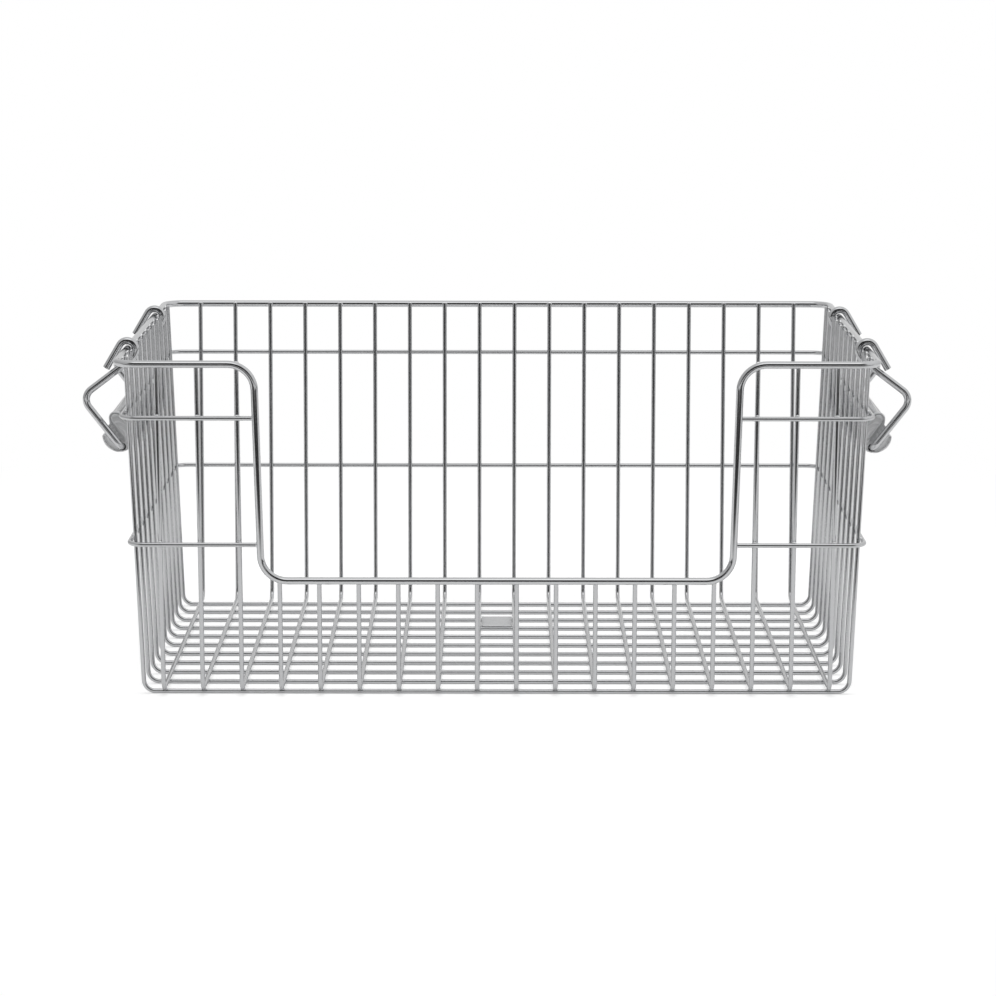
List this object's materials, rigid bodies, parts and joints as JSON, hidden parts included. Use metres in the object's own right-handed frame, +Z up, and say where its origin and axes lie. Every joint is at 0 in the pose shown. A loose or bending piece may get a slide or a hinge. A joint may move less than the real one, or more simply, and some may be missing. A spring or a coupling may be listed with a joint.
{
  "type": "wire basket",
  "caption": "Open-topped rectangular stainless wire basket, its front cut down to a low edge, with a swinging bail handle and rolled sheet grip hooked over the rim at each end.",
  "frame": {"origin": "middle of the footprint, on the surface the basket stands on", "axes": "+X left to right seen from the low front, +Y from the low front to the back, +Z up"},
  "size_m": [0.5776, 0.3444, 0.2417],
  "materials": {
    "rim_steel": "bright electro-polished stainless steel",
    "wire_steel": "bright electro-polished stainless steel",
    "bail_steel": "bright electro-polished stainless steel",
    "grip_steel": "bright electro-polished stainless steel",
    "plate_steel": "bright electro-polished stainless steel"
  },
  "bodies": {
    "basket": {"rim_rod": "rim_steel", "upper_belt_wire": "wire_steel", "lower_belt_wire": "wire_steel", "cross_wire_01": "wire_steel", "cross_wire_02": "wire_steel", "cross_wire_03": "wire_steel", "cross_wire_04": "wire_steel", "cross_wire_05": "wire_steel", "cross_wire_06": "wire_steel", "cross_wire_07": "wire_steel", "cross_wire_08": "wire_steel", "cross_wire_09": "wire_steel", "cross_wire_10": "wire_steel", "cross_wire_11": "wire_steel", "depth_wire_01": "wire_steel", "depth_wire_02": "wire_steel", "depth_wire_03": "wire_steel", "depth_wire_04": "wire_steel", "depth_wire_05": "wire_steel", "depth_wire_06": "wire_steel", "depth_wire_07": "wire_steel", "depth_wire_08": "wire_steel", "depth_wire_09": "wire_steel", "depth_wire_10": "wire_steel", "depth_wire_11": "wire_steel", "depth_wire_12": "wire_steel", "depth_wire_13": "wire_steel", "depth_wire_14": "wire_steel", "depth_wire_15": "wire_steel", "depth_wire_16": "wire_steel", "depth_wire_17": "wire_steel", "depth_wire_18": "wire_steel", "label_plate": "plate_steel"},
    "left_handle": {"left_bail_wire": "bail_steel", "left_grip": "grip_steel"},
    "right_handle": {"right_bail_wire": "bail_steel", "right_grip": "grip_steel"}
  },
  "joints": [
    {"name": "left_handle_swing", "type": "hinge", "parent": "basket", "child": "left_handle", "pos_m": [-0.2567, 0, 0.2337], "axis": [0, 1, 0], "range_deg": [0, 305]},
    {"name": "right_handle_swing", "type": "hinge", "parent": "basket", "child": "right_handle", "pos_m": [0.2567, 0, 0.2337], "axis": [0, -1, 0], "range_deg": [0, 305]}
  ]
}
